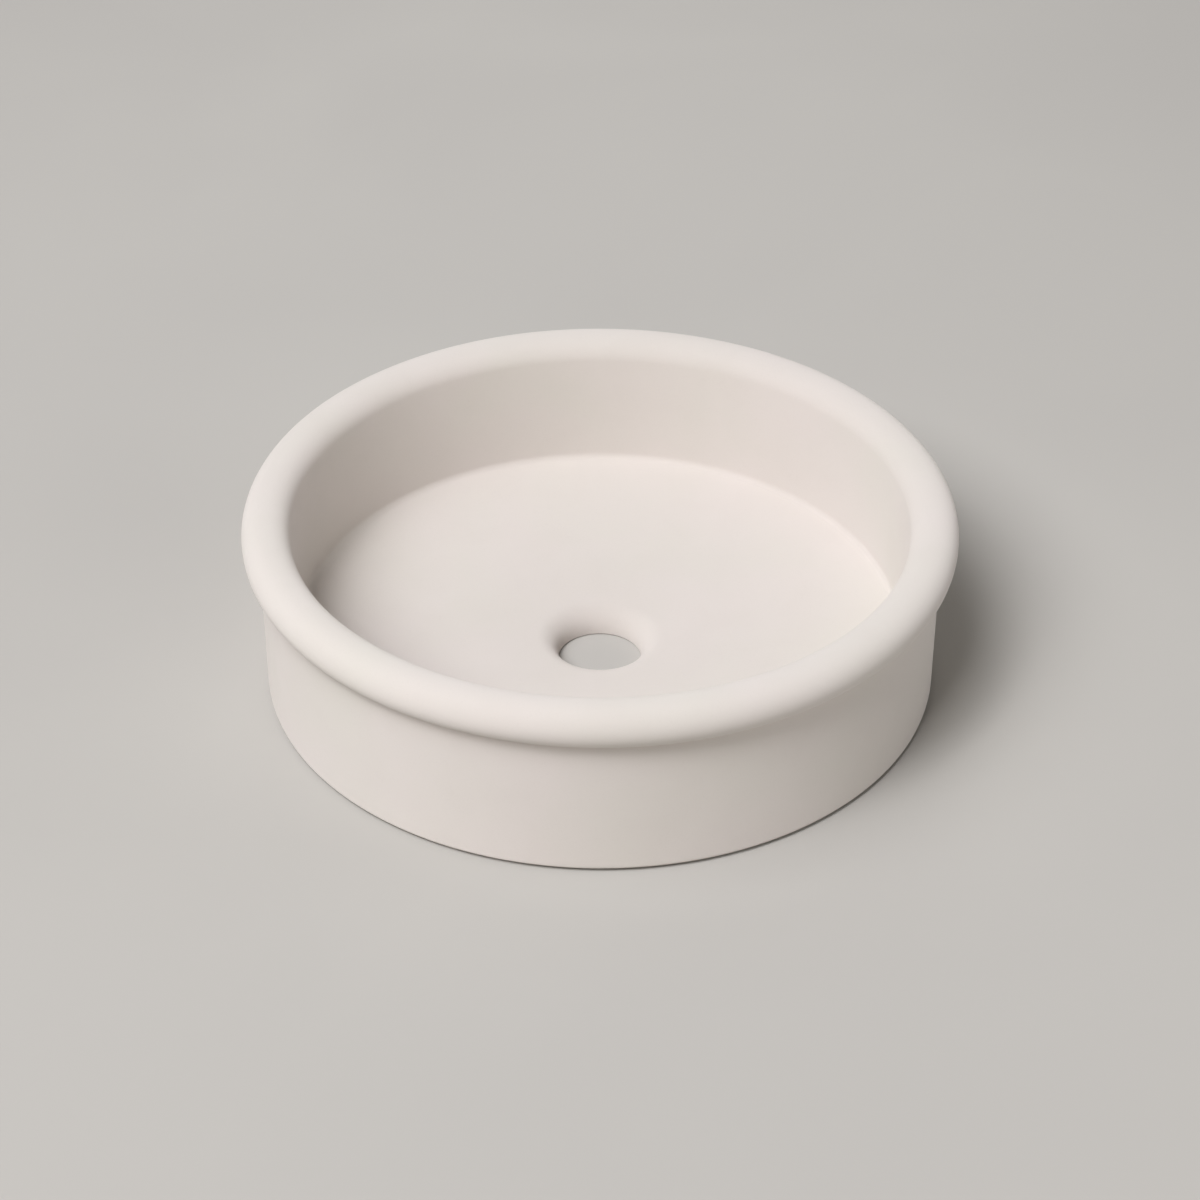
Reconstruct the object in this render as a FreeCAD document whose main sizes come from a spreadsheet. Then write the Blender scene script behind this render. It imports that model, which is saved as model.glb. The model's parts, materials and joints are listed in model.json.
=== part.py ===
"""Round bench-top basin, cast in one piece of reinforced concrete.

The basin is a straight-sided drum with a thick bead for a rim, which rolls over more
gently on the inner side. Inside, a nearly upright wall turns through a small corner into
a floor that falls to a round waste hole, and the floor rolls over a soft shoulder into
that hole. A cage of thin steel strip is cast into the concrete: a hoop in the bead, one
at the foot of the wall, one round the waste hole, and bent ribs that carry them. Thin pads
under the drum keep it off the bench.

Frame: millimetres, +Z up, origin on the bench surface on the basin's own axis.
"""

import FreeCAD, Part
import math
import os
import Sketcher
from FreeCAD import Placement, Rotation, Vector

DOCUMENT = FreeCAD.newDocument("ConcreteBasin")

# Driving dimensions, in mm and degrees.
DRIVING = {
    # outer form
    "rim_diameter": 400,
    "overall_height": 109,
    "bead_diameter": 25,
    "inner_roll_radius": 15.5,
    "arris": 1.6,
    # wall, floor and waste hole
    "wall_thickness": 18,
    "wall_draft": 0.5,
    "corner_radius": 3.5,
    "floor_fall": 6,
    "floor_thickness": 14.5,
    "bore_diameter": 47.5,
    "bore_land": 2,
    "shoulder_radius": 13.5,
    # strip cage inside the concrete
    "strip_width": 8,
    "strip_thickness": 1.5,
    "strip_gap": 0.3,
    "bottom_cover": 4,
    "rib_count": 8,
    "rib_bend_radius": 14,
    "rib_end_margin": 18,
    "waste_hoop_width": 4,
    "waste_hoop_inset": 6,
    # pads under the drum
    "pad_count": 4,
    "pad_diameter": 20,
    "pad_thickness": 0.5,
    "pad_inset": 12,
}

# Sizes and places that follow from the driving dimensions.
DERIVED = {
    "bead_radius": "bead_diameter / 2",
    "bead_centre_radius": "rim_diameter / 2 - bead_radius",
    "bead_height": "overall_height - bead_radius",
    "inner_roll_height": "overall_height - inner_roll_radius",
    "bowl_radius": "bead_centre_radius - inner_roll_radius",
    "drum_radius": "bowl_radius + wall_thickness",
    "bore_radius": "bore_diameter / 2",
    "lip_height": "pad_thickness + floor_thickness",
    "shoulder_limit": "(floor_thickness - bore_land) * tan(45 + floor_fall / 2)",
    "shoulder_roll": "min(shoulder_radius; shoulder_limit)",
    "strip_pitch": "strip_thickness + strip_gap",
    "wall_middle_radius": "bowl_radius + wall_thickness / 2",
    "rib_upright_radius": "wall_middle_radius + strip_pitch / 2",
    "rib_foot_underside": "pad_thickness + bottom_cover",
    "rib_foot_height": "rib_foot_underside + strip_thickness / 2",
    "rib_bend_height": "rib_foot_height + rib_bend_radius",
    "rib_bend_start": "rib_upright_radius - rib_bend_radius",
    "rib_top_height": "bead_height + strip_width / 2",
    "rib_end_radius": "bore_radius + rib_end_margin",
    "rim_hoop_inner": "rib_upright_radius + strip_pitch - strip_thickness / 2",
    "rim_hoop_outer": "rim_hoop_inner + strip_thickness",
    "rim_hoop_underside": "bead_height - strip_width / 2",
    "base_hoop_outer": "rib_upright_radius - strip_pitch + strip_thickness / 2",
    "base_hoop_inner": "base_hoop_outer - strip_thickness",
    "base_hoop_underside": "rib_bend_height",
    "waste_hoop_inner": "rib_end_radius + waste_hoop_inset",
    "waste_hoop_outer": "waste_hoop_inner + strip_thickness",
    "waste_hoop_underside": "rib_foot_underside + strip_pitch",
    "pad_radius": "pad_diameter / 2",
    "pad_circle_radius": "drum_radius - pad_inset - pad_radius",
}

# A constraint counts the points of a line or arc up from 1, and the sketch's axes down from -1.
START, END, CENTRE = range(1, 4)
H_AXIS, V_AXIS = range(-1, -3, -1)
ABOUT_Z = Vector(0, 0, 1)
FULL_TURN = 360
SAME_PLACE = 1e-5


def fill_sheet():
    """The sheet of sizes: the driving ones as numbers, the others as formulas of them."""
    sheet = DOCUMENT.addObject("Spreadsheet::Sheet", "Sizes")
    formulas = {name: f"={formula}" for name, formula in DERIVED.items()}
    for row, (name, content) in enumerate({**DRIVING, **formulas}.items(), start=1):
        sheet.set(f"A{row}", name)
        sheet.set(f"B{row}", str(content))
        sheet.setAlias(f"B{row}", name)
    DOCUMENT.recompute()
    return sheet


SIZES = fill_sheet()


def size(name):
    """The present value of one size, for a sketch's first geometry."""
    return float(getattr(SIZES, name))


def bind(thing, property_name, name):
    """Ties a property to one size of the sheet."""
    thing.setExpression(property_name, f"Sizes.{name}")


def new_body(label):
    body = DOCUMENT.addObject("PartDesign::Body", label)
    body.Label = label
    return body


def new_sketch(body, name, plane_role):
    """A sketch on one of the body's own origin planes."""
    sketch = body.newObject("Sketcher::SketchObject", name)
    plane = next(part for part in body.Origin.OriginFeatures if part.Role == plane_role)
    sketch.AttachmentSupport = [(plane, "")]
    sketch.MapMode = "FlatFace"
    return sketch


def constrain(sketch, kind, *where):
    return sketch.addConstraint(Sketcher.Constraint(kind, *where))


def dimension(sketch, kind, *where, name):
    """A dimension that takes its value from the size of that name."""
    value = math.radians(size(name)) if kind == "Angle" else size(name)
    index = constrain(sketch, kind, *where, value)
    bind(sketch, f"Constraints[{index}]", name)


def from_origin(sketch, geometry, end, across=None, up=None):
    """Dimensions a point from the sketch's origin, across, up or both."""
    if across:
        dimension(sketch, "DistanceX", H_AXIS, START, geometry, end, name=across)
    if up:
        dimension(sketch, "DistanceY", H_AXIS, START, geometry, end, name=up)


def line(sketch, first, last):
    return sketch.addGeometry(Part.LineSegment(first, last))


def arc(sketch, centre, first, last):
    """An arc about a centre, counter-clockwise from one point to another."""
    out, back = first - centre, last - centre
    circle = Part.Circle(centre, ABOUT_Z, out.Length)
    return sketch.addGeometry(Part.ArcOfCircle(circle, math.atan2(out.y, out.x), math.atan2(back.y, back.x)))


def disc(sketch, centre, radius):
    """A full circle whose radius is the size of that name."""
    circle = sketch.addGeometry(Part.Circle(centre, ABOUT_Z, size(radius)))
    dimension(sketch, "Radius", circle, name=radius)
    return circle


def rounding(corner, first_way, second_way, radius):
    """Centre and both ends of the arc that rounds a corner, left along two unit ways."""
    half = first_way.getAngle(second_way) / 2
    reach = radius / math.tan(half)
    middle = (first_way + second_way).normalize()
    return corner + middle * (radius / math.sin(half)), corner + first_way * reach, corner + second_way * reach


def draw_section(body):
    """Half of the basin's section: underside, drum, bead, wall, corner, floor, shoulder, hole."""
    draft, fall = math.radians(size("wall_draft")), math.radians(size("floor_fall"))
    up, down = Vector(0, 1), Vector(0, -1)
    up_wall = Vector(math.sin(draft), math.cos(draft))
    out_floor = Vector(math.cos(fall), math.sin(fall))
    in_floor = out_floor * -1

    foot = Vector(size("bore_radius"), size("pad_thickness"))
    heel = Vector(size("drum_radius"), size("pad_thickness"))
    bead_centre = Vector(size("bead_centre_radius"), size("bead_height"))
    inner_centre = Vector(size("bead_centre_radius"), size("inner_roll_height"))
    crest = Vector(size("bead_centre_radius"), size("overall_height"))
    lip = Vector(size("bore_radius"), size("lip_height"))
    # The drum runs up until it meets the bead, and the leaning wall leaves the inner roll at a tangent.
    overlap = heel.x - bead_centre.x
    under_bead = Vector(heel.x, bead_centre.y - math.sqrt(size("bead_radius") ** 2 - overlap ** 2))
    inside_bead = inner_centre + Vector(-math.cos(draft), math.sin(draft)) * size("inner_roll_radius")
    # The sharp corner of wall and floor, before it is rounded.
    across = lip - inside_bead
    drop = (across.x * out_floor.y - across.y * out_floor.x) / (up_wall.y * out_floor.x - up_wall.x * out_floor.y)
    corner = inside_bead - up_wall * drop
    corner_centre, wall_foot, floor_edge = rounding(corner, up_wall, in_floor, size("corner_radius"))
    roll_centre, floor_end, bore_top = rounding(lip, out_floor, down, size("shoulder_roll"))

    sketch = new_sketch(body, "Section", "XZ_Plane")
    underside = line(sketch, foot, heel)
    drum = line(sketch, heel, under_bead)
    bead = arc(sketch, bead_centre, under_bead, crest)
    inner_roll = arc(sketch, inner_centre, crest, inside_bead)
    wall = line(sketch, inside_bead, wall_foot)
    corner_arc = arc(sketch, corner_centre, floor_edge, wall_foot)
    floor = line(sketch, floor_edge, floor_end)
    shoulder = arc(sketch, roll_centre, floor_end, bore_top)
    bore = line(sketch, bore_top, foot)
    sharp_lip = sketch.addGeometry(Part.Point(lip), True)

    constrain(sketch, "Coincident", underside, END, drum, START)
    constrain(sketch, "Coincident", drum, END, bead, START)
    constrain(sketch, "Tangent", bead, END, inner_roll, START)
    constrain(sketch, "Tangent", inner_roll, END, wall, START)
    constrain(sketch, "Tangent", wall, END, corner_arc, END)
    constrain(sketch, "Tangent", corner_arc, START, floor, START)
    constrain(sketch, "Tangent", floor, END, shoulder, START)
    constrain(sketch, "Tangent", shoulder, END, bore, START)
    constrain(sketch, "Coincident", bore, END, underside, START)
    constrain(sketch, "Horizontal", underside)
    constrain(sketch, "Vertical", drum)
    constrain(sketch, "Vertical", bore)
    constrain(sketch, "PointOnObject", sharp_lip, START, floor)
    constrain(sketch, "PointOnObject", sharp_lip, START, bore)

    from_origin(sketch, underside, START, across="bore_radius", up="pad_thickness")
    from_origin(sketch, underside, END, across="drum_radius")
    from_origin(sketch, bead, CENTRE, across="bead_centre_radius", up="bead_height")
    from_origin(sketch, inner_roll, CENTRE, across="bead_centre_radius")
    from_origin(sketch, sharp_lip, START, up="lip_height")
    dimension(sketch, "Radius", bead, name="bead_radius")
    dimension(sketch, "Radius", inner_roll, name="inner_roll_radius")
    dimension(sketch, "Radius", corner_arc, name="corner_radius")
    dimension(sketch, "Radius", shoulder, name="shoulder_roll")
    dimension(sketch, "Angle", wall, END, V_AXIS, START, name="wall_draft")
    dimension(sketch, "Angle", H_AXIS, START, floor, END, name="floor_fall")
    return sketch


def ring_edge(feature, radius, height):
    """The name of the feature's level round edge of that radius at that height."""
    for number, edge in enumerate(feature.Shape.Edges, start=1):
        curve = edge.Curve
        if not isinstance(curve, Part.Circle):
            continue
        if abs(curve.Radius - size(radius)) < SAME_PLACE and abs(curve.Center.z - size(height)) < SAME_PLACE:
            return f"Edge{number}"
    raise ValueError(f"no round edge of {feature.Name} at {radius}, {height}")


def make_casting():
    """The concrete before the cage is let into it: a turned section with its heel rubbed down."""
    body = new_body("casting")
    turned = body.newObject("PartDesign::Revolution", "Turned")
    turned.Profile = draw_section(body)
    turned.ReferenceAxis = (turned.Profile[0], ["V_Axis"])
    turned.Angle = FULL_TURN
    DOCUMENT.recompute()
    rubbed = body.newObject("PartDesign::Chamfer", "Rubbed")
    rubbed.Base = (turned, [ring_edge(turned, "drum_radius", "pad_thickness")])
    bind(rubbed, "Size", "arris")
    return body


def make_hoop(label, width):
    """A welded ring of strip that stands on edge."""
    body = new_body(label)
    outline = new_sketch(body, "Outline", "XY_Plane")
    bind(outline, "AttachmentOffset.Base.z", f"{label}_underside")
    for radius in (f"{label}_outer", f"{label}_inner"):
        ring = disc(outline, Vector(), radius)
        constrain(outline, "Coincident", ring, CENTRE, H_AXIS, START)
    strip = body.newObject("PartDesign::Pad", "Strip")
    strip.Profile = outline
    bind(strip, "Length", width)
    return body


def turn_about_axis(body, number, count):
    """Sets one of a ring of equal pieces at its share of the full turn."""
    body.Placement = Placement(Vector(), Rotation(ABOUT_Z, FULL_TURN * number / size(count)))
    body.setExpression("Placement.Rotation.Angle", f"{FULL_TURN} * {number} / Sizes.{count}")


def draw_run(body):
    """The middle line of a rib: out under the floor, round the corner and up the wall."""
    run = new_sketch(body, "Run", "XZ_Plane")
    foot_end = Vector(size("rib_end_radius"), size("rib_foot_height"))
    bend_start = Vector(size("rib_bend_start"), size("rib_foot_height"))
    bend_centre = Vector(size("rib_bend_start"), size("rib_bend_height"))
    bend_end = Vector(size("rib_upright_radius"), size("rib_bend_height"))
    top = Vector(size("rib_upright_radius"), size("rib_top_height"))
    foot = line(run, foot_end, bend_start)
    bend = arc(run, bend_centre, bend_start, bend_end)
    upright = line(run, bend_end, top)
    constrain(run, "Tangent", foot, END, bend, START)
    constrain(run, "Tangent", bend, END, upright, START)
    constrain(run, "Horizontal", foot)
    constrain(run, "Vertical", upright)
    from_origin(run, foot, START, across="rib_end_radius", up="rib_foot_height")
    from_origin(run, upright, END, across="rib_upright_radius", up="rib_top_height")
    dimension(run, "Radius", bend, name="rib_bend_radius")
    return run


def draw_strip_end(body):
    """The strip's own section, flat on the rib's foot at the waste end."""
    end = new_sketch(body, "StripEnd", "YZ_Plane")
    bind(end, "AttachmentOffset.Base.z", "rib_end_radius")
    half_width, low = size("strip_width") / 2, size("rib_foot_underside")
    high = low + size("strip_thickness")
    corners = [(-half_width, low), (half_width, low), (half_width, high), (-half_width, high)]
    corners = [Vector(*corner) for corner in corners]
    sides = [line(end, first, last) for first, last in zip(corners, corners[1:] + corners[:1])]
    for before, after in zip(sides, sides[1:] + sides[:1]):
        constrain(end, "Coincident", before, END, after, START)
    bottom, right, top, left = sides
    constrain(end, "Horizontal", top)
    constrain(end, "Vertical", right)
    constrain(end, "Vertical", left)
    constrain(end, "Symmetric", bottom, START, bottom, END, V_AXIS)
    from_origin(end, bottom, START, up="rib_foot_underside")
    dimension(end, "DistanceX", bottom, START, bottom, END, name="strip_width")
    dimension(end, "DistanceY", right, START, right, END, name="strip_thickness")
    return end


def make_rib(number):
    """A bent strip that carries the hoops."""
    body = new_body(f"rib_{number}")
    run = draw_run(body)
    end = draw_strip_end(body)
    DOCUMENT.recompute()
    bent = body.newObject("PartDesign::AdditivePipe", "Bent")
    bent.Profile = end
    bent.Spine = (run, [f"Edge{edge + 1}" for edge in range(len(run.Shape.Edges))])
    turn_about_axis(body, number - 1, "rib_count")
    return body


def make_pad(number):
    """A thin round pad, stuck to the underside near the drum's edge."""
    body = new_body(f"pad_{number}")
    outline = new_sketch(body, "Outline", "XY_Plane")
    ring = disc(outline, Vector(size("pad_circle_radius"), 0), "pad_radius")
    constrain(outline, "PointOnObject", ring, CENTRE, H_AXIS)
    from_origin(outline, ring, CENTRE, across="pad_circle_radius")
    pad = body.newObject("PartDesign::Pad", "Disc")
    pad.Profile = outline
    bind(pad, "Length", "pad_thickness")
    turn_about_axis(body, number - 1, "pad_count")
    return body


def let_in(casting, cage):
    """The finished concrete: the casting with the room that each strip of the cage takes."""
    strips = DOCUMENT.addObject("Part::Compound", "strips")
    strips.Links = cage
    shell = DOCUMENT.addObject("Part::Cut", "basin_shell")
    shell.Label = "basin_shell"
    shell.Base = casting
    shell.Tool = strips
    return shell


def numbers(count):
    """The numbers of a ring of equal pieces, from 1."""
    return range(1, int(size(count)) + 1)


def check(sub_parts):
    """Stops unless every object is in order and every sub-part is one whole, closed solid."""
    failed = {thing.Label for thing in DOCUMENT.Objects if {"Invalid", "Error"} & set(thing.State)}
    for part in sub_parts:
        shape = part.Shape
        if shape.isNull() or not shape.isValid() or len(shape.Solids) != 1:
            failed.add(part.Label)
    if failed:
        raise RuntimeError(f"not built: {sorted(failed)}")


def write(sub_parts):
    os.makedirs("parts", exist_ok=True)
    for part in sub_parts:
        part.Shape.exportStep(f"parts/{part.Label}.step")
        print(f"{part.Label}: {part.Shape.Volume:.0f} mm3")


hoops = [
    make_hoop("rim_hoop", "strip_width"),
    make_hoop("base_hoop", "strip_width"),
    make_hoop("waste_hoop", "waste_hoop_width"),
]
ribs = [make_rib(number) for number in numbers("rib_count")]
pads = [make_pad(number) for number in numbers("pad_count")]
basin_shell = let_in(make_casting(), hoops + ribs)
DOCUMENT.recompute()

sub_parts = [basin_shell] + hoops + ribs + pads
check(sub_parts)
write(sub_parts)
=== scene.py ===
# %% [markdown]
# # A round concrete basin
#
# The basin is one casting: a drum with a thick rolled bead for a rim, and a floor that falls
# to a waste hole. It came out of a mould, so nearly every surface is a turned one. The
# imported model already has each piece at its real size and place. This lesson gives the
# casting a finer skin, dresses every piece, and lights it as the photograph is lit.

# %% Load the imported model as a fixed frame
import json
import math

import bmesh
import bpy
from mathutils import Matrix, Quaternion, Vector, noise


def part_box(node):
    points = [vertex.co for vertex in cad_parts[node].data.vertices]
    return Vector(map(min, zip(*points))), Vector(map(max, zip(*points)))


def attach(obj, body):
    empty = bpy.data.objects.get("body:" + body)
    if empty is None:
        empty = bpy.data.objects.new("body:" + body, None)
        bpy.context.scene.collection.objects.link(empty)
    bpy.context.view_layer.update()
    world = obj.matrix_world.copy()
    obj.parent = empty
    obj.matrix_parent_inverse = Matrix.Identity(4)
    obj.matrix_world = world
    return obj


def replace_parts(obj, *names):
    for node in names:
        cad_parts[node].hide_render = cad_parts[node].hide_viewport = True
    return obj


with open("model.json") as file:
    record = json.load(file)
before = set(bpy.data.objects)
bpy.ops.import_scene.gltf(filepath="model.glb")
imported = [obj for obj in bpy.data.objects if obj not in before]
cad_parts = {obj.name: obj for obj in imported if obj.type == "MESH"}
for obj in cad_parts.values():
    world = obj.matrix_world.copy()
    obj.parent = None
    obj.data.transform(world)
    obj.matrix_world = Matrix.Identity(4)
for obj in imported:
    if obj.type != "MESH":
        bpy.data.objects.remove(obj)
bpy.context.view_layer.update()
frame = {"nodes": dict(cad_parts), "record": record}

print("pieces in the frame:", ", ".join(sorted(frame["nodes"])))

# %% [markdown]
# ## The sizes of the casting
#
# What the frame can tell is read from it: the outside of the bead, the top, the underside
# and the waste hole. The rest of the section is noted here once, in metres, as a pattern
# maker would write it beside the drawing.

# %% Sizes of the section
MM = 0.001
shell_low, shell_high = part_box("basin_shell")
waste_mount = next(mount for mount in frame["record"]["mounts"] if mount["name"] == "waste_bore")
RIM_RADIUS = (shell_high.x - shell_low.x) / 2
TOP = shell_high.z
UNDERSIDE = shell_low.z
BORE_RADIUS = waste_mount["dims"]["r_mm"] * MM
BEAD_RADIUS = 12.5 * MM
INNER_ROLL_WIDTH = 14.5 * MM
INNER_ROLL_HEIGHT = 12.8 * MM
DRUM_SETBACK = 9.3 * MM
WALL_DRAFT = math.radians(2.3)
CORNER_RADIUS = 3.5 * MM
FLOOR_FALL = math.radians(5.75)
FLOOR_THICKNESS = 14.5 * MM
SHOULDER_RADIUS = 13.5 * MM
COVE_RADIUS = 2 * MM
HEEL_WIDTH = 5 * MM
HEEL_RISE = 1.7 * MM
HEEL_RADIUS = 2.2 * MM
BORE_ARRIS_RADIUS = 0.4 * MM
DRUM_RADIUS = RIM_RADIUS - DRUM_SETBACK
print(f"radii: rim {RIM_RADIUS:.4f} m, drum {DRUM_RADIUS:.4f} m, waste hole {BORE_RADIUS:.4f} m")
print(f"heights: underside {UNDERSIDE:.4f} m, top {TOP:.4f} m")

# %% [markdown]
# ## The section as a line of points
#
# A turned form needs only its section. A model maker could draw it by hand as a curve and
# spin it with a Screw modifier. Here it is worked out instead, so that each rounded edge has
# a size with a name: an arc comes from the two lines that it joins. Straight stretches are
# cut into short steps, because the surface is moved a little later and needs points to move.

# %% Helpers for a section
ARC_STEP = math.radians(7.5)
LINE_STEP = 5 * MM
EDGE_STEP = 0.5 * MM
SAME_PLACE = EDGE_STEP / 100


def polar(angle):
    """A way of length one at an angle."""
    return Vector((math.cos(angle), math.sin(angle)))


def spanned(first, second):
    """The area between two ways. It is positive where the second one lies left of the first."""
    return first.x * second.y - first.y * second.x


def straight(first, last):
    """Points along a line, both ends included, with a short step beside each end."""
    run = last - first
    if run.length < 4 * EDGE_STEP:
        return [first, last]
    edge_share = EDGE_STEP / run.length
    steps = max(1, round(run.length / LINE_STEP))
    shares = [edge_share + (1 - 2 * edge_share) * step / steps for step in range(steps + 1)]
    return [first] + [first + run * share for share in shares] + [last]


def oval(centre, width, height, first_angle, last_angle):
    """Points along the arc of an ellipse with those half axes, both ends included."""
    steps = max(3, math.ceil(abs(last_angle - first_angle) / ARC_STEP))
    angles = [first_angle + (last_angle - first_angle) * step / steps for step in range(steps + 1)]
    return [centre + Vector((width * math.cos(angle), height * math.sin(angle))) for angle in angles]


def arc(centre, radius, first_angle, last_angle):
    """Points along an arc, both ends included."""
    return oval(centre, radius, radius, first_angle, last_angle)


def rounded(corner, before, after, radius):
    """The arc that rounds a corner, on the way from the point before it to the one after."""
    back = (before - corner).normalized()
    on = (after - corner).normalized()
    half = back.angle(on) / 2
    centre = corner + (back + on).normalized() * (radius / math.sin(half))
    reach = radius / math.tan(half)
    first = corner + back * reach - centre
    last = corner + on * reach - centre
    first_angle = math.atan2(first.y, first.x)
    turn = math.atan2(spanned(first, last), first.dot(last))
    return arc(centre, radius, first_angle, first_angle + turn)


def joined(*stretches):
    """One line of points from several stretches, each shared point kept once."""
    points = []
    for point in (point for stretch in stretches for point in stretch):
        if not points or (point - points[-1]).length > SAME_PLACE:
            points.append(point)
    return points


# %% [markdown]
# ## The basin's own section
#
# The line starts at the foot of the waste hole, runs out under the basin, up the drum, into
# the small cove under the bead, round the bead, down the inner wall, round the corner, in
# along the floor and over the shoulder. The bead rolls over more gently on its inner side,
# so an arc outside and part of an oval inside share a tangent on top. The wall leans a
# little, which lets the mould come out. The cove is where the mould's two parts met: it
# touches the drum and the bead from outside, and keeps the shadow there soft. The drum's
# foot is cut back underneath, and the gap shows as the thin dark line round the basin.

# %% Work out the basin's section
bead_centre = Vector((RIM_RADIUS - BEAD_RADIUS, TOP - BEAD_RADIUS))
roll_centre = Vector((bead_centre.x, TOP - INNER_ROLL_HEIGHT))
foot = Vector((BORE_RADIUS, UNDERSIDE))
heel = Vector((DRUM_RADIUS, UNDERSIDE + HEEL_RISE))
ground_edge = Vector((DRUM_RADIUS - HEEL_WIDTH, UNDERSIDE))
lip = Vector((BORE_RADIUS, UNDERSIDE + FLOOR_THICKNESS))

cove_reach = BEAD_RADIUS + COVE_RADIUS
cove_across = DRUM_RADIUS + COVE_RADIUS - bead_centre.x
cove_angle = math.acos(cove_across / cove_reach)
cove_centre = bead_centre + Vector((cove_across, -cove_reach * math.sin(cove_angle)))
drum_top = Vector((DRUM_RADIUS, cove_centre.y))

roll_end = math.pi - math.atan(INNER_ROLL_HEIGHT / INNER_ROLL_WIDTH * math.tan(WALL_DRAFT))
roll_arc = oval(roll_centre, INNER_ROLL_WIDTH, INNER_ROLL_HEIGHT, math.pi / 2, roll_end)
wall_top = roll_arc[-1]
wall_way = Vector((-math.sin(WALL_DRAFT), -math.cos(WALL_DRAFT)))
floor_way = polar(FLOOR_FALL)
wall_run = spanned(lip - wall_top, floor_way) / spanned(wall_way, floor_way)
corner = wall_top + wall_way * wall_run

foot_arc = rounded(foot, lip, ground_edge, BORE_ARRIS_RADIUS)
ground_arc = rounded(ground_edge, foot, heel, HEEL_RADIUS)
heel_arc = rounded(heel, ground_edge, drum_top, HEEL_RADIUS)
cove_arc = arc(cove_centre, COVE_RADIUS, math.pi, math.pi - cove_angle)
bead_arc = arc(bead_centre, BEAD_RADIUS, -cove_angle, math.pi / 2)
corner_arc = rounded(corner, wall_top, lip, CORNER_RADIUS)
shoulder_arc = rounded(lip, corner, foot, SHOULDER_RADIUS)

section = joined(
    straight(foot_arc[-1], ground_arc[0]),
    ground_arc,
    straight(ground_arc[-1], heel_arc[0]),
    heel_arc,
    straight(heel_arc[-1], drum_top),
    cove_arc,
    bead_arc,
    roll_arc,
    straight(wall_top, corner_arc[0]),
    corner_arc,
    straight(corner_arc[-1], shoulder_arc[0]),
    shoulder_arc,
    straight(shoulder_arc[-1], foot_arc[0]),
    foot_arc,
)[:-1]
print(f"the section has {len(section)} points")

# %% [markdown]
# ## Turning a section
#
# The section is copied round an axis and the copies are joined by faces. The edges that show
# have a real rounding, so these faces are shaded smooth and nothing needs a sharp edge. An
# open section, such as a pad's, is closed by a flat face at each end.

# %% Helpers for turned pieces
def turned_mesh(name, points, steps, middle=Vector((0, 0, 0)), closed=True):
    """A section turned about the upright axis through a point."""
    mesh = bpy.data.meshes.new(name)
    build = bmesh.new()
    rings = []
    for step in range(steps):
        out = polar(math.tau * step / steps)
        rings.append([build.verts.new(middle + Vector((*(out * point.x), point.y))) for point in points])
    for ring, following in zip(rings, rings[1:] + rings[:1]):
        for at in range(len(points) if closed else len(points) - 1):
            on = (at + 1) % len(points)
            build.faces.new((ring[at], following[at], following[on], ring[on]))
    for face in build.faces:
        face.smooth = True
    if not closed:
        build.faces.new([ring[0] for ring in rings])
        build.faces.new([ring[-1] for ring in rings])
    bmesh.ops.recalc_face_normals(build, faces=build.faces)
    build.to_mesh(mesh)
    build.free()
    return mesh


def add_piece(name, mesh):
    """Puts a mesh in the scene as a piece that rides on the basin's one body."""
    piece = bpy.data.objects.new(name, mesh)
    bpy.context.scene.collection.objects.link(piece)
    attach(piece, "root")
    return piece


# %% Turn the casting
TURN_STEPS = 288
basin = add_piece("basin_casting", turned_mesh("basin_casting", section, TURN_STEPS))
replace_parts(basin, "basin_shell")
print(f"{basin.name}: {len(basin.data.polygons)} faces")

# %% [markdown]
# ## The hand of the mould
#
# A cast surface is never quite true. The mould flexes, and the face is rubbed down by hand.
# The points move inwards by up to a sixth of a millimetre in slow waves, too little to see
# as a shape and enough to break up the light. They move only inwards, so the basin keeps
# its outside size. The underside and the slope at its edge were ground on a table, so they
# stay true.

# %% Move the cast surface by slow waves
WAVE_DEPTH = 0.16 * MM
WAVE_LENGTH = 70 * MM
WAVE_SWING = 0.4
FINER_WAVE_LENGTH = 25 * MM
FINER_WAVE_SWING = 0.15
FACING_DOWN = -0.9


def is_ground(place, normal):
    """Whether a place is on the underside or the slope at its edge, low down and facing down."""
    return place.z < UNDERSIDE + HEEL_RISE and normal.z < FACING_DOWN


def wave(place):
    """A smooth value from 0 to 1."""
    slow = WAVE_SWING * noise.noise(place / WAVE_LENGTH)
    finer = FINER_WAVE_SWING * noise.noise(place / FINER_WAVE_LENGTH)
    return min(1.0, max(0.0, 0.5 + slow + finer))


moved = 0
normals = [vertex.normal.copy() for vertex in basin.data.vertices]
for vertex, normal in zip(basin.data.vertices, normals):
    if not is_ground(vertex.co, normal):
        vertex.co -= normal * WAVE_DEPTH * wave(vertex.co)
        moved += 1
basin.data.update()
print(f"{moved} points moved by up to {WAVE_DEPTH / MM:.2f} mm")

# %% [markdown]
# ## Effects that the finishes share
#
# Small node groups give the finishes their detail. Each puts out a mask, a tone or a height
# and no shader, so one group serves concrete, steel, rubber and the floor with other values.
# All of them read the object's own coordinates, which here are metres from the middle of the
# basin's base.

# %% Helpers for nodes
def add_node(tree, kind, inputs=None, **settings):
    """A node with its settings. Each input is a plain value or another node's output."""
    made = tree.nodes.new(kind)
    for name, value in settings.items():
        setattr(made, name, value)
    for key, value in (inputs or {}).items():
        if isinstance(value, bpy.types.NodeSocket):
            tree.links.new(value, made.inputs[key])
        else:
            made.inputs[key].default_value = value
    return made


def calculate(tree, operation, *values):
    """The result of a Math node."""
    return add_node(tree, "ShaderNodeMath", dict(enumerate(values)), operation=operation).outputs[0]


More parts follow.
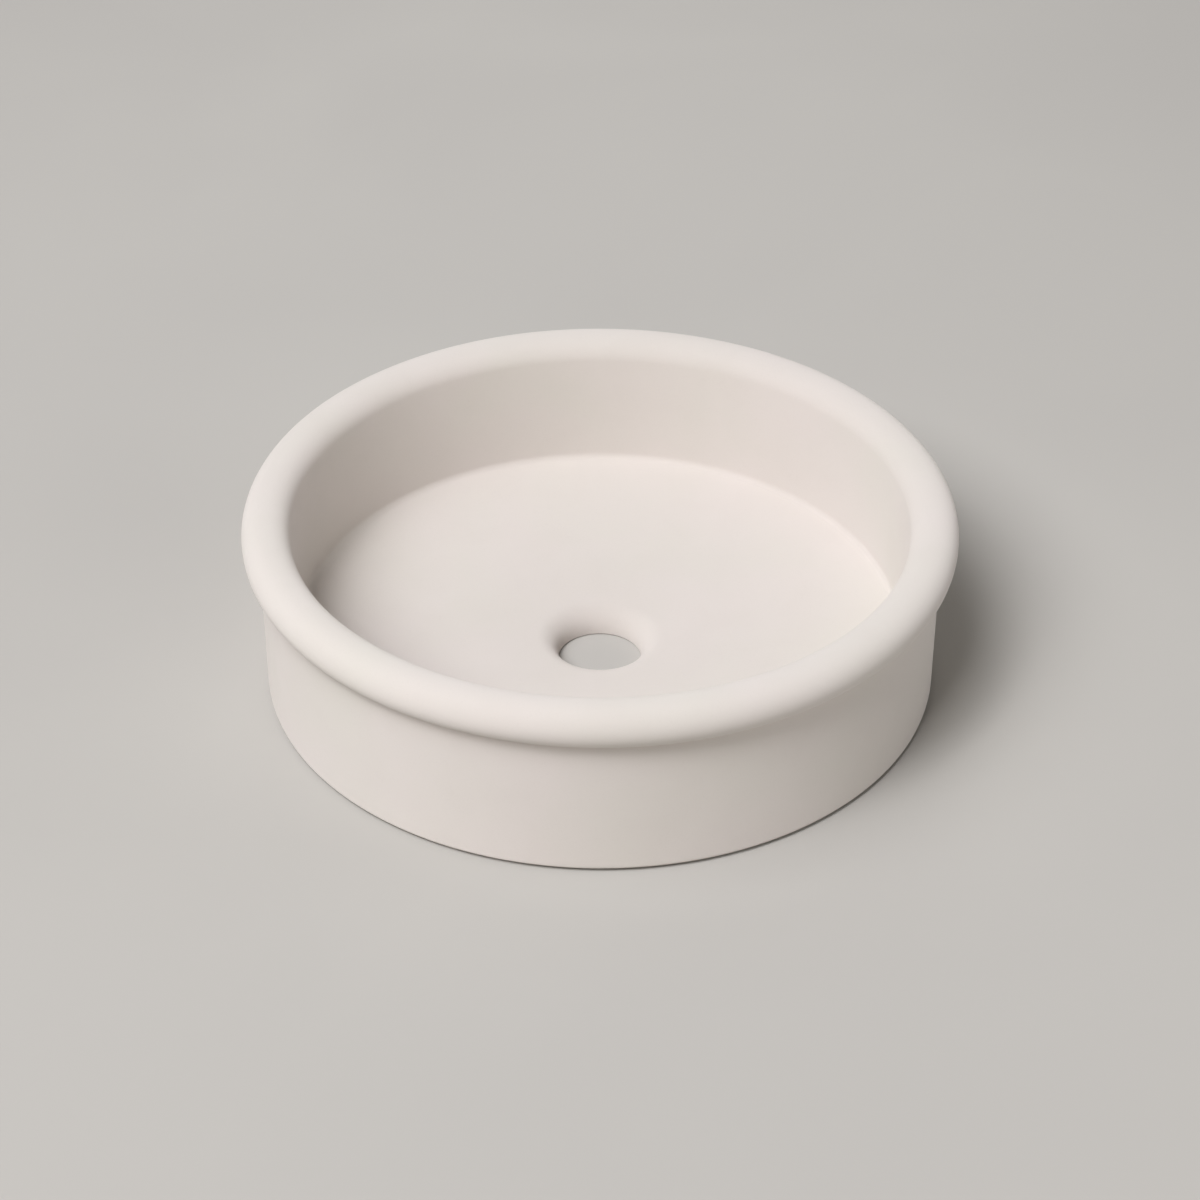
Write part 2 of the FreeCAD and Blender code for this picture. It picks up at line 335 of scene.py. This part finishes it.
def between(tree, value, low=0.0, high=1.0, to_low=0.0, to_high=1.0):
    """A value carried smoothly from one range to another and held at its ends."""
    mapped = add_node(tree, "ShaderNodeMapRange", {
        "Value": value,
        "From Min": low,
        "From Max": high,
        "To Min": to_low,
        "To Max": to_high,
    }, interpolation_type="SMOOTHSTEP")
    return mapped.outputs["Result"]


def object_place(tree):
    """The place on the object, in metres."""
    return add_node(tree, "ShaderNodeTexCoord").outputs["Object"]


def cell_texture(tree, place, scale):
    """A Voronoi texture: each place's distance from the middle of its cell, and a colour per cell."""
    return add_node(tree, "ShaderNodeTexVoronoi", {"Vector": place, "Scale": scale}, feature="F1")


def random_draws(tree, cells):
    """Three random values for each cell, taken from its colour."""
    return add_node(tree, "ShaderNodeSeparateColor", {"Color": cells.outputs["Color"]}).outputs


def new_group(name, inputs, outputs):
    """A node group with number inputs, given with their first values, and number outputs."""
    group = bpy.data.node_groups.new(name, "ShaderNodeTree")
    for label, value in inputs.items():
        socket = group.interface.new_socket(label, in_out="INPUT", socket_type="NodeSocketFloat")
        socket.default_value = value
    for label in outputs:
        group.interface.new_socket(label, in_out="OUTPUT", socket_type="NodeSocketFloat")
    given = group.nodes.new("NodeGroupInput").outputs
    result = group.nodes.new("NodeGroupOutput").inputs
    return group, given, result, object_place(group)


# %% [markdown]
# ### Clouding
#
# Concrete dries unevenly and keeps slow pale and darker patches. A noise texture with low
# detail gives them. Its contrast is an input, because a polished face hides most of it.

# %% Make the clouding group
def make_clouding():
    inputs = {"Patch size": 60 * MM, "Contrast": 1.0}
    group, given, result, place = new_group("clouding", inputs, ["Tone"])
    clouds = add_node(group, "ShaderNodeTexNoise", {
        "Vector": place,
        "Scale": calculate(group, "DIVIDE", 1.0, given["Patch size"]),
        "Detail": 3.0,
        "Roughness": 0.45,
        "Distortion": 0.6,
    })
    centred = calculate(group, "SUBTRACT", clouds.outputs["Fac"], 0.5)
    spread = calculate(group, "MULTIPLY_ADD", centred, given["Contrast"], 0.5)
    held = add_node(group, "ShaderNodeClamp", {"Value": spread})
    group.links.new(held.outputs["Result"], result["Tone"])
    return group


CLOUDING = make_clouding()
print("shared effect:", CLOUDING.name)

# %% [markdown]
# ### Sand
#
# The finest part of the mix shows as specks about a millimetre wide. Cells of a Voronoi
# texture are the grains, and a noise of the same size is the paste between them.

# %% Make the sand group
def make_sand():
    group, given, result, place = new_group("sand", {"Grain size": 0.6 * MM}, ["Tone", "Height"])
    scale = calculate(group, "DIVIDE", 1.0, given["Grain size"])
    grains = cell_texture(group, place, scale)
    paste = add_node(group, "ShaderNodeTexNoise", {
        "Vector": place,
        "Scale": scale,
        "Detail": 3.0,
        "Roughness": 0.7,
    })
    halves = add_node(group, "ShaderNodeMix", {
        "Factor": 0.5,
        "A": random_draws(group, grains)["Red"],
        "B": paste.outputs["Fac"],
    }, data_type="FLOAT")
    group.links.new(halves.outputs["Result"], result["Tone"])
    group.links.new(paste.outputs["Fac"], result["Height"])
    return group


SAND = make_sand()
print("shared effect:", SAND.name)

# %% [markdown]
# ### Air holes
#
# Bubbles caught against the mould leave small round holes. Each Voronoi cell may hold one:
# a first draw from the cell's colour decides whether it does, and a second one how wide it is.

# %% Make the air hole group
def make_air_holes():
    inputs = {"Spacing": 10 * MM, "Radius": 0.4 * MM, "Share kept": 0.3}
    group, given, result, place = new_group("air_holes", inputs, ["Mask"])
    scale = calculate(group, "DIVIDE", 1.0, given["Spacing"])
    cells = cell_texture(group, place, scale)
    draws = random_draws(group, cells)
    kept = calculate(group, "LESS_THAN", draws["Red"], given["Share kept"])
    share_of_radius = between(group, draws["Green"], to_low=0.35)
    reach = calculate(group, "MULTIPLY", given["Radius"], share_of_radius)
    away = calculate(group, "MULTIPLY", cells.outputs["Distance"], given["Spacing"])
    share_of_reach = calculate(group, "DIVIDE", away, reach)
    hole = between(group, share_of_reach, low=0.7, to_low=1.0, to_high=0.0)
    group.links.new(calculate(group, "MULTIPLY", hole, kept), result["Mask"])
    return group


AIR_HOLES = make_air_holes()
print("shared effect:", AIR_HOLES.name)

# %% [markdown]
# ## Finishes
#
# Each finish is one Principled shader. A value that is the same all over, such as how much
# it mirrors, is set on the shader itself. What changes over the surface, its colour, its
# roughness and its relief, comes from the groups and from other textures. Blender's Mix node
# has sockets of several kinds under the same names, so its colour ones are found by number.

# %% Helpers for finishes
MIX_SHARE = 0
MIX_COLOURS = (6, 7)
MIX_RESULT = 2


def new_finish(name, constants):
    """A material, its tree and its shader, with the shader's constant values set."""
    material = bpy.data.materials.new(name)
    material.use_nodes = True
    shader = material.node_tree.nodes["Principled BSDF"]
    for label, value in constants.items():
        shader.inputs[label].default_value = value
    return material, material.node_tree, shader


def effect(tree, group, values):
    """The outputs of a shared effect, placed in a material with its own values."""
    return add_node(tree, "ShaderNodeGroup", values, node_tree=group).outputs


def blend(tree, share, first, second):
    """A colour on the way from one to another. Each is three numbers or a node's output."""
    mixed = add_node(tree, "ShaderNodeMix", {MIX_SHARE: share}, data_type="RGBA")
    for index, colour in zip(MIX_COLOURS, (first, second)):
        if isinstance(colour, bpy.types.NodeSocket):
            tree.links.new(colour, mixed.inputs[index])
        else:
            mixed.inputs[index].default_value = (*colour, 1.0)
    return mixed.outputs[MIX_RESULT]


def tinted(tree, colour, tint, mask, most, low=0.0, high=1.0):
    """A colour that goes towards a tint, at most by a share, as a mask rises from low to high."""
    return blend(tree, between(tree, mask, low, high, to_high=most), colour, tint)


def hollowed(tree, mask):
    """The height of a face that is hollow where a mask is full."""
    return between(tree, mask, to_low=1.0, to_high=0.0)


def connect(tree, shader, **outputs):
    """Feeds the shader's inputs, such as base_color or roughness."""
    for label, output in outputs.items():
        tree.links.new(output, shader.inputs[label.replace("_", " ").title()])


def relief(tree, *layers):
    """A surface normal from bumps laid over each other. A layer is a height and its depth."""
    normal = None
    for height, depth in layers:
        bump = {"Height": height, "Distance": depth}
        if normal:
            bump["Normal"] = normal
        normal = add_node(tree, "ShaderNodeBump", bump).outputs["Normal"]
    return normal


# %% [markdown]
# ### Fair face
#
# The face that the polished mould leaves is matt, smooth and pale, with a faint warm and
# cool clouding, hardly any sand showing and a few pinholes too small to see from a step
# away. It is slightly rough even to light that it scatters, which flattens the shading of
# the bead. It is the basin's main finish.
# The pinholes are also tinted darker, which is painted shade in them.

# %% Mix the fair face
FAIR_WARM = (0.778, 0.718, 0.686)
FAIR_COOL = (0.756, 0.713, 0.664)
FAIR_DEEP = (0.724, 0.67, 0.626)
FAIR_SPECK_AND_HOLE_SHADE = (0.605, 0.545, 0.508)


def mix_fair_face():
    constants = {"Specular IOR Level": 0.12, "Diffuse Roughness": 0.45}
    material, tree, shader = new_finish("fair_face_concrete", constants)
    hue = effect(tree, CLOUDING, {"Patch size": 90 * MM, "Contrast": 2.2})["Tone"]
    shade = effect(tree, CLOUDING, {"Patch size": 35 * MM, "Contrast": 1.5})["Tone"]
    sand = effect(tree, SAND, {"Grain size": 0.7 * MM})
    holes = {"Spacing": 13 * MM, "Radius": 0.22 * MM, "Share kept": 0.2}
    pinholes = effect(tree, AIR_HOLES, holes)["Mask"]
    colour = blend(tree, hue, FAIR_WARM, FAIR_COOL)
    colour = tinted(tree, colour, FAIR_DEEP, shade, most=0.25, low=0.3)
    colour = tinted(tree, colour, FAIR_SPECK_AND_HOLE_SHADE, sand["Tone"], most=0.15, low=0.6, high=0.95)
    # Painted shade: the pinholes are tinted darker, as shade in them would look.
    colour = tinted(tree, colour, FAIR_SPECK_AND_HOLE_SHADE, pinholes, most=0.4)
    roughness = between(tree, shade, to_low=0.56, to_high=0.68)
    normal = relief(tree, (sand["Height"], 0.012 * MM), (hollowed(tree, pinholes), 0.15 * MM))
    connect(tree, shader, base_color=colour, roughness=roughness, normal=normal)
    return material


fair_face = mix_fair_face()
print("finish:", fair_face.name)

# %% [markdown]
# ### Ground face
#
# Grinding the underside flat cuts through the skin. The sand shows as darker grains, the
# bubbles are opened into wide holes, whose insides are painted darker as painted shade, and
# the grinding cup leaves faint arcs. The arcs come from the distance to the middle of each
# large Voronoi cell, repeated like a ruler's marks.

# %% Mix the ground face
GROUND_PASTE = (0.756, 0.707, 0.664)
GROUND_SHADE = (0.648, 0.605, 0.567)
GROUND_GRAIN_AND_HOLE_SHADE = (0.41, 0.383, 0.362)
GRAIN_SHARE = 0.6
CUP_WIDTH = 90 * MM
CUP_MARK_PITCH = 1.2 * MM


def cup_marks(tree):
    """Heights of the arcs that a grinding cup leaves."""
    passes = cell_texture(tree, object_place(tree), 1 / CUP_WIDTH)
    marks_per_pass = CUP_WIDTH / CUP_MARK_PITCH
    turns = calculate(tree, "MULTIPLY", passes.outputs["Distance"], math.tau * marks_per_pass)
    return calculate(tree, "SINE", turns)


def mix_ground_face():
    material, tree, shader = new_finish("ground_concrete", {"Specular IOR Level": 0.3})
    shade = effect(tree, CLOUDING, {"Patch size": 40 * MM, "Contrast": 1.8})["Tone"]
    sand = effect(tree, SAND, {"Grain size": 1.4 * MM})
    holes = {"Spacing": 8 * MM, "Radius": 1.1 * MM, "Share kept": 0.35}
    bubbles = effect(tree, AIR_HOLES, holes)["Mask"]
    grains = between(tree, sand["Tone"], 0.5, 0.8, to_high=GRAIN_SHARE)
    colour = blend(tree, shade, GROUND_PASTE, GROUND_SHADE)
    colour = blend(tree, grains, colour, GROUND_GRAIN_AND_HOLE_SHADE)
    # Painted shade: the opened bubbles are tinted darker, as shade in them would look.
    colour = tinted(tree, colour, GROUND_GRAIN_AND_HOLE_SHADE, bubbles, most=0.7)
    roughness = between(tree, grains, high=GRAIN_SHARE, to_low=0.85, to_high=0.55)
    normal = relief(
        tree,
        (cup_marks(tree), 0.01 * MM),
        (sand["Height"], 0.06 * MM),
        (hollowed(tree, bubbles), 0.7 * MM),
    )
    connect(tree, shader, base_color=colour, roughness=roughness, normal=normal)
    return material


ground_face = mix_ground_face()
print("finish:", ground_face.name)

# %% [markdown]
# ### Zinc on strip
#
# The strips of the cage were dipped in zinc, which sets in flat crystals a few millimetres
# wide. Each Voronoi cell is one crystal with its own grey and its own polish.

# %% Mix the zinc
ZINC_LIGHT = (0.66, 0.67, 0.68)
ZINC_DARK = (0.40, 0.41, 0.43)
CRYSTAL_WIDTH = 3.5 * MM


def mix_zinc():
    material, tree, shader = new_finish("galvanised_strip", {"Metallic": 1.0})
    draws = random_draws(tree, cell_texture(tree, object_place(tree), 1 / CRYSTAL_WIDTH))
    bloom = effect(tree, CLOUDING, {"Patch size": 20 * MM, "Contrast": 2.0})["Tone"]
    sand = effect(tree, SAND, {"Grain size": 0.5 * MM})
    colour = blend(tree, draws["Red"], ZINC_DARK, ZINC_LIGHT)
    colour = tinted(tree, colour, ZINC_DARK, bloom, most=0.4, low=0.5)
    roughness = between(tree, draws["Green"], to_low=0.32, to_high=0.55)
    normal = relief(tree, (sand["Height"], 0.01 * MM))
    connect(tree, shader, base_color=colour, roughness=roughness, normal=normal)
    return material


zinc = mix_zinc()
print("finish:", zinc.name)

# %% [markdown]
# ### Pad rubber
#
# The pads are dull black rubber. Concrete dust sits in the grain in small patches.

# %% Mix the rubber
RUBBER_BLACK = (0.018, 0.018, 0.019)
RUBBER_DUST = (0.13, 0.125, 0.12)


def mix_rubber():
    material, tree, shader = new_finish("pad_rubber", {"Specular IOR Level": 0.3})
    dust = effect(tree, CLOUDING, {"Patch size": 5 * MM, "Contrast": 2.5})["Tone"]
    grain = effect(tree, SAND, {"Grain size": 0.4 * MM})
    colour = tinted(tree, RUBBER_BLACK, RUBBER_DUST, dust, most=0.5, low=0.4)
    roughness = between(tree, grain["Tone"], to_low=0.65, to_high=0.9)
    normal = relief(tree, (grain["Height"], 0.03 * MM))
    connect(tree, shader, base_color=colour, roughness=roughness, normal=normal)
    return material


rubber = mix_rubber()
print("finish:", rubber.name)

# %% [markdown]
# ## Dressing the casting and the cage
#
# The casting carries two finishes: the faces of the underside and of the slope at its edge
# take the ground one, and all others the fair face. The strips of the cage are sealed in the
# concrete and no view shows them, but each may be taken out and looked at, so they are
# dressed too.

# %% Dress the casting
basin.data.materials.append(fair_face)
basin.data.materials.append(ground_face)
ground_slot = basin.data.materials.find(ground_face.name)
ground_faces = [face for face in basin.data.polygons if is_ground(face.center, face.normal)]
for face in ground_faces:
    face.material_index = ground_slot
print(f"{len(ground_faces)} faces of the casting are ground")

# %% Dress the cage
cage = [name for name in frame["nodes"] if name.endswith("_hoop") or name.startswith("rib_")]
for name in cage:
    strip = frame["nodes"][name]
    strip.data.materials.clear()
    strip.data.materials.append(zinc)
print(f"{len(cage)} strips of the cage are dressed")

# %% [markdown]
# ## The pads
#
# Four thin discs keep the ground concrete off the bench. Each is a small moulding: its edge
# is eased, and three shallow rings in its lower face help it to grip. It is turned about its
# own axis, and each place and size comes from the plain disc that it stands for.

# %% Turn the pads
PAD_STEPS = 72
PAD_EDGE_RADIUS = 0.15 * MM
GRIP_RINGS = 3
GRIP_DEPTH = 0.1 * MM


def pad_section(radius, thickness):
    """From the middle of the lower face out over the rings, round the edge and back in on top."""
    pitch = radius / (GRIP_RINGS + 1)
    half_mouth = pitch / 4
    half_bottom = pitch / 8
    points = [Vector((half_mouth, 0))]
    for ring in range(1, GRIP_RINGS + 1):
        middle = pitch * ring
        sides = (-half_mouth, -half_bottom, half_bottom, half_mouth)
        depths = (0, GRIP_DEPTH, GRIP_DEPTH, 0)
        points += [Vector((middle + aside, depth)) for aside, depth in zip(sides, depths)]
    low_edge = Vector((radius, 0))
    high_edge = Vector((radius, thickness))
    top_middle = Vector((half_mouth, thickness))
    low_arc = rounded(low_edge, points[-1], high_edge, PAD_EDGE_RADIUS)
    high_arc = rounded(high_edge, low_edge, top_middle, PAD_EDGE_RADIUS)
    return joined(points, low_arc, high_arc, [top_middle])


pad_nodes = sorted(name for name in frame["nodes"] if name.startswith("pad_"))
for name in pad_nodes:
    low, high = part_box(name)
    middle = Vector(((low.x + high.x) / 2, (low.y + high.y) / 2, low.z))
    outline = pad_section((high.x - low.x) / 2, high.z - low.z)
    mesh = turned_mesh(f"{name}_rubber", outline, PAD_STEPS, middle, closed=False)
    mesh.materials.append(rubber)
    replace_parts(add_piece(f"{name}_rubber", mesh), name)
print(f"{len(pad_nodes)} pads of {PAD_STEPS * (len(outline) - 1)} faces each")

# %% [markdown]
# ## The floor
#
# The basin stands on a plain pale grey floor, which is a stage and no part of the object.
# It fills the view, because the camera looks down on it even at the top of the frame.

# %% Lay the floor
FLOOR_REACH = 6.0
FLOOR_PALE = (0.567, 0.545, 0.513)
FLOOR_DULL = (0.54, 0.518, 0.491)


def mix_floor():
    constants = {"Specular IOR Level": 0.25, "Diffuse Roughness": 0.7}
    material, tree, shader = new_finish("pale_floor", constants)
    shade = effect(tree, CLOUDING, {"Patch size": 350 * MM, "Contrast": 1.6})["Tone"]
    sand = effect(tree, SAND, {"Grain size": 2 * MM})
    colour = blend(tree, shade, FLOOR_PALE, FLOOR_DULL)
    roughness = between(tree, shade, to_low=0.6, to_high=0.7)
    normal = relief(tree, (sand["Height"], 0.02 * MM))
    connect(tree, shader, base_color=colour, roughness=roughness, normal=normal)
    return material


def lay_floor():
    mesh = bpy.data.meshes.new("floor")
    corners = [(x * FLOOR_REACH, y * FLOOR_REACH, 0.0) for x, y in ((-1, -1), (1, -1), (1, 1), (-1, 1))]
    mesh.from_pydata(corners, [], [(0, 1, 2, 3)])
    mesh.materials.append(mix_floor())
    floor = bpy.data.objects.new("floor", mesh)
    bpy.context.scene.collection.objects.link(floor)


lay_floor()
print(f"floor {2 * FLOOR_REACH:.0f} m wide")

# %% [markdown]
# ## Camera
#
# The photograph was taken with a long lens from well back, looking down at 35 degrees. The
# two widths of the rim and the height of the drum in the picture fix that angle, and how
# much smaller the far side looks fixes the distance.

# %% Set the camera
CAMERA_DISTANCE = 1.742
CAMERA_ELEVATION = math.radians(35.14)
CAMERA_ROLL = math.radians(0.16)
CAMERA_LENS = 91.7
CAMERA_TARGET = Vector((0, 0, 0.0414))


def around(centre, azimuth, elevation, distance):
    """A place round a centre. Azimuth 0 is in front of the basin, and positive is to its right."""
    level = distance * math.cos(elevation)
    height = distance * math.sin(elevation)
    return centre + Vector((level * math.sin(azimuth), -level * math.cos(azimuth), height))


def facing(place, centre):
    """The turn that makes a camera or a lamp at a place look at a centre."""
    return (centre - place).to_track_quat("-Z", "Y")


def set_camera():
    camera = bpy.data.objects.new("camera", bpy.data.cameras.new("camera"))
    camera.data.lens = CAMERA_LENS
    camera.location = around(CAMERA_TARGET, 0, CAMERA_ELEVATION, CAMERA_DISTANCE)
    camera.rotation_mode = "QUATERNION"
    roll = Quaternion((0, 0, 1), CAMERA_ROLL)
    camera.rotation_quaternion = facing(camera.location, CAMERA_TARGET) @ roll
    bpy.context.scene.collection.objects.link(camera)
    bpy.context.scene.camera = camera
    return camera


camera = set_camera()
print("camera at", tuple(round(value, 3) for value in camera.location))

# %% [markdown]
# ## Light
#
# The photograph's light is a wide soft source on the left and above, as a big window or a
# bounced lamp gives. Five square softboxes next to each other stand for it, and their
# overlapping shadows make the long soft one on the right. A weak one high at the back, four
# low down in front, on the right and behind, and a little light from everywhere keep the
# shadows open, as pale walls do. What comes off the walls in front and behind is a little
# warmer than the window's own light. The walls themselves show only in views from low down,
# behind the far edge of the floor, and are kept pale there.

# %% Choose the lamps
WINDOW_COLOUR = (0.974, 0.980, 1.0)
WALL_COLOUR = (1.0, 0.98, 0.917)
ROOM_STRENGTH = 0.053
BACKDROP_STRENGTH = 0.45
# Name, azimuth and elevation in degrees, width in metres, watts, colour.
SOFTBOXES = [
    ("window_high", -30, 60, 1.4, 59.4, WINDOW_COLOUR),
    ("window_middle", -45, 48, 1.4, 42.1, WINDOW_COLOUR),
    ("window_front", -30, 48, 1.4, 23.9, WINDOW_COLOUR),
    ("window_top_left", -75, 72, 1.4, 17.8, WINDOW_COLOUR),
    ("window_left", -75, 48, 1.4, 15.0, WINDOW_COLOUR),
    ("high_back", -160, 58, 1.8, 9.6, WINDOW_COLOUR),
    ("wall_front_left", -30, 12, 1.6, 11.3, WALL_COLOUR),
    ("wall_front_right", 30, 12, 1.6, 15.0, WALL_COLOUR),
    ("wall_right", 90, 12, 1.6, 27.2, WINDOW_COLOUR),
    ("wall_back", 180, 12, 1.6, 21.4, WALL_COLOUR),
]
print("softboxes:", len(SOFTBOXES))

# %% Hang the lamps
LIGHT_TARGET = Vector((0, 0, 0.05))
LAMP_DISTANCE = 4.0


def hang_softbox(name, azimuth, elevation, width, watts, colour):
    """A square area lamp that faces the basin. Angles are in degrees."""
    lamp = bpy.data.lights.new(name, "AREA")
    lamp.size = width
    lamp.energy = watts
    lamp.color = colour
    softbox = bpy.data.objects.new(name, lamp)
    angles = (math.radians(azimuth), math.radians(elevation))
    softbox.location = around(LIGHT_TARGET, *angles, LAMP_DISTANCE)
    softbox.rotation_mode = "QUATERNION"
    softbox.rotation_quaternion = facing(softbox.location, LIGHT_TARGET)
    bpy.context.scene.collection.objects.link(softbox)


def light_room(colour, strength, backdrop_strength):
    """Even light from all round, as pale walls give it back. The camera sees them brighter."""
    room = bpy.data.worlds.new("room")
    room.use_nodes = True
    tree = room.node_tree
    background = tree.nodes["Background"].inputs
    background["Color"].default_value = (*colour, 1.0)
    seen = add_node(tree, "ShaderNodeLightPath").outputs["Is Camera Ray"]
    level = calculate(tree, "MULTIPLY_ADD", seen, backdrop_strength - strength, strength)
    tree.links.new(level, background["Strength"])
    bpy.context.scene.world = room


for softbox in SOFTBOXES:
    hang_softbox(*softbox)
light_room(WALL_COLOUR, ROOM_STRENGTH, BACKDROP_STRENGTH)
bpy.context.scene.view_settings.view_transform = "Standard"
print("lamps:", len(bpy.data.lights))
